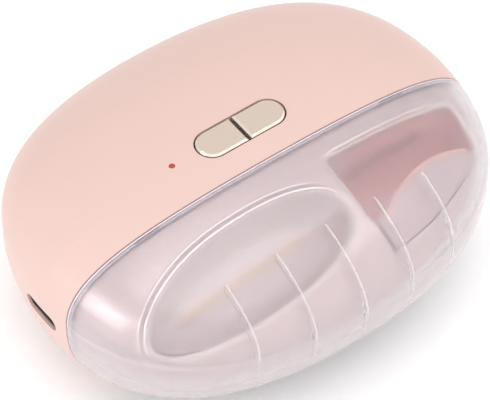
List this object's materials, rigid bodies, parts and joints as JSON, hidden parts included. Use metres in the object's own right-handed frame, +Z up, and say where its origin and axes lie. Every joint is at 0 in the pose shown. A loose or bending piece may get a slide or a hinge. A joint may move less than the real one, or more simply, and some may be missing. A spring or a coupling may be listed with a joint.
{
  "type": "electric nail clipper",
  "caption": "Palm-sized electric nail clipper: pebble body with press buttons, a spinning cutter behind a finger slot, a clippings bowl and a clear pull-off dust cover.",
  "frame": {"origin": "middle of the flat underside", "axes": "+X along the body, -Y towards the dust cover, +Z up"},
  "size_m": [0.092, 0.0736, 0.0416],
  "materials": {
    "body_plastic": "satin pink moulded plastic",
    "clear_cover": "clear moulded plastic with a faint lilac tint",
    "silver_plastic": "satin silver-grey paint",
    "soft_pad": "soft-touch warm grey",
    "bowl_plastic": "glossy light grey",
    "mat_rubber": "mauve rubber",
    "liner_plastic": "dusky pink moulded plastic",
    "guard_metal": "dusky pink coated steel",
    "button_metal": "satin champagne with a bright bevel",
    "black_rubber": "black silicone",
    "black_plastic": "black moulded plastic",
    "board": "green circuit board",
    "led_body": "white LED package",
    "light_pipe": "translucent red",
    "steel": "plain steel",
    "cutter_steel": "ground steel",
    "screw_steel": "zinc plated",
    "brass": "bare brass",
    "cell_wrap": "blue shrink wrap",
    "lead_red": "red insulation",
    "magnet": "ferrite",
    "gear_plastic": "natural acetal",
    "chassis_plastic": "off-white moulded plastic"
  },
  "bodies": {
    "body": {"upper_housing": "body_plastic", "base_cover": "body_plastic", "front_frame": "silver_plastic", "finger_rest": "soft_pad", "clippings_bowl": "bowl_plastic", "bowl_mat": "mat_rubber", "slot_liner": "liner_plastic", "blade_guard": "guard_metal", "button_membrane": "black_rubber", "tact_switches": "black_plastic", "main_board": "board", "charge_board": "board", "board_parts": "black_plastic", "indicator_led": "led_body", "light_pipe": "light_pipe", "port_shell": "steel", "port_tongue": "black_plastic", "battery_cell": "cell_wrap", "battery_leads": "lead_red", "motor_leads": "lead_red", "motor_can": "steel", "motor_end_cap": "black_plastic", "motor_magnets": "magnet", "motor_terminals": "brass", "idler_pin": "steel", "cutter_bushes": "brass", "chassis": "chassis_plastic", "gearbox_cover": "chassis_plastic", "base_screws": "screw_steel", "chassis_screws": "screw_steel", "board_screws": "screw_steel", "gearbox_screws": "screw_steel"},
    "cover": {"front_cover": "clear_cover"},
    "button_l": {"left_button": "button_metal"},
    "button_r": {"right_button": "button_metal"},
    "cutter": {"cutter_shaft": "steel", "cutter_drum": "cutter_steel", "cutter_gear": "gear_plastic"},
    "idler": {"idler_gear": "gear_plastic"},
    "rotor": {"motor_shaft": "steel", "motor_rotor": "steel", "motor_pinion": "brass"}
  },
  "joints": [
    {"name": "cover_slide", "type": "slide", "parent": "body", "child": "cover", "axis": [0, -1, 0], "range_m": [0, 0.045]},
    {"name": "left_button_press", "type": "slide", "parent": "body", "child": "button_l", "axis": [0, 0, -1], "range_m": [0, 0.0006], "stiffness_N_per_m": 300},
    {"name": "right_button_press", "type": "slide", "parent": "body", "child": "button_r", "axis": [0, 0, -1], "range_m": [0, 0.0006], "stiffness_N_per_m": 300},
    {"name": "cutter_spin", "type": "hinge", "parent": "body", "child": "cutter", "pos_m": [0.0064, -0.0056, 0.029], "axis": [1, 0, 0], "continuous": true},
    {"name": "idler_spin", "type": "hinge", "parent": "body", "child": "idler", "pos_m": [0.0064, -0.00079, 0.02081], "axis": [1, 0, 0], "continuous": true},
    {"name": "motor_spin", "type": "hinge", "parent": "body", "child": "rotor", "pos_m": [0.0064, 0.003, 0.01434], "axis": [1, 0, 0], "continuous": true}
  ],
  "couplings": [
    {"joint": "idler_spin", "follows": "cutter_spin", "ratio": -1.1111},
    {"joint": "motor_spin", "follows": "cutter_spin", "ratio": 1.6667}
  ]
}
